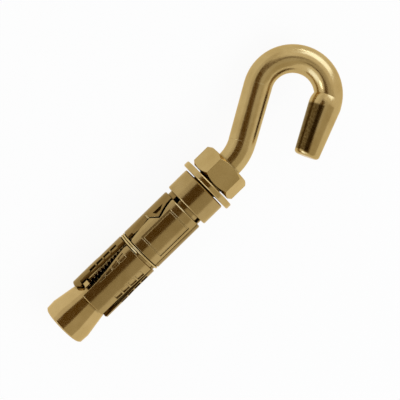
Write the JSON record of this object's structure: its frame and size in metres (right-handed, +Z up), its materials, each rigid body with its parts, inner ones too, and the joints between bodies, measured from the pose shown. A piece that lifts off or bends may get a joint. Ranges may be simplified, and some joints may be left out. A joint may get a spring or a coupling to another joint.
{
  "type": "hook bolt",
  "caption": "Open hook bolt with an expansion shield: segments, spring ring, ferrule, washer, hexagon nut and taper nut, yellow passivated steel.",
  "frame": {"origin": "on the bolt's axis at the middle of the ferrule, which is the fixing's end in the wall", "axes": "+X points from the ferrule to the taper nut, the way the anchor is pushed into its hole; +Z is up from the floor that the bolt lies on; the hook opens towards +Y"},
  "size_m": [0.1471, 0.0403, 0.0274],
  "materials": {
    "bolt_plate": "forged steel with a yellow passivated zinc coat",
    "nut_plate": "machined steel with a yellow passivated zinc coat",
    "shield_plate": "pressed steel with a yellow passivated zinc coat",
    "wire_plate": "drawn wire with a yellow passivated zinc coat",
    "cone_plate": "cast and turned iron with a yellow passivated zinc coat"
  },
  "bodies": {
    "hook_bolt": {"hook_bolt": "bolt_plate"},
    "washer": {"flat_washer": "nut_plate"},
    "nut": {"hex_nut": "nut_plate"},
    "shield": {"ferrule": "shield_plate", "spring_ring": "wire_plate"},
    "segment_1": {"segment_1": "shield_plate"},
    "segment_2": {"segment_2": "shield_plate"},
    "segment_3": {"segment_3": "shield_plate"},
    "segment_4": {"segment_4": "shield_plate"},
    "taper_nut": {"taper_nut": "cone_plate"}
  },
  "joints": [
    {"name": "washer_slide", "type": "slide", "parent": "hook_bolt", "child": "washer", "axis": [0.9994, 0, -0.0335], "range_m": [0, 0.0003]},
    {"name": "nut_turn", "type": "hinge", "parent": "washer", "child": "nut", "pos_m": [-0.0085, 0, 0.00029], "axis": [0.9994, 0, -0.0335], "range_deg": [0, 62]},
    {"name": "shield_turn", "type": "hinge", "parent": "hook_bolt", "child": "shield", "pos_m": [0, 0, 0], "axis": [-0.9994, 0, 0.0335], "range_deg": [0, 1620]},
    {"name": "taper_nut_climb", "type": "slide", "parent": "shield", "child": "taper_nut", "axis": [-0.9994, 0, 0.0335], "range_m": [0, 0.0079]},
    {"name": "segment_1_spread", "type": "hinge", "parent": "shield", "child": "segment_1", "pos_m": [0.00466, -0.00218, 0.00775], "axis": [-0.0089, -0.9641, -0.2654], "range_deg": [0, 1.4], "deforming": ["spring_ring"]},
    {"name": "segment_2_spread", "type": "hinge", "parent": "shield", "child": "segment_2", "pos_m": [0.00447, 0.00791, 0.00203], "axis": [0.0323, -0.2655, 0.9636], "range_deg": [0, 1.4]},
    {"name": "segment_3_spread", "type": "hinge", "parent": "shield", "child": "segment_3", "pos_m": [0.00413, 0.00218, -0.00805], "axis": [0.0089, 0.9641, 0.2654], "range_deg": [0, 1.4]},
    {"name": "segment_4_spread", "type": "hinge", "parent": "shield", "child": "segment_4", "pos_m": [0.00432, -0.00791, -0.00232], "axis": [-0.0323, 0.2655, -0.9636], "range_deg": [0, 1.4]}
  ],
  "couplings": [
    {"joint": "nut_turn", "follows": "washer_slide", "rad_per_m": 3590.4},
    {"joint": "taper_nut_climb", "follows": "shield_turn", "m_per_rad": 0.00027852},
    {"joint": "segment_1_spread", "follows": "shield_turn", "ratio": 0.00086056},
    {"joint": "segment_2_spread", "follows": "shield_turn", "ratio": 0.00086056},
    {"joint": "segment_3_spread", "follows": "shield_turn", "ratio": 0.00086056},
    {"joint": "segment_4_spread", "follows": "shield_turn", "ratio": 0.00086056}
  ]
}
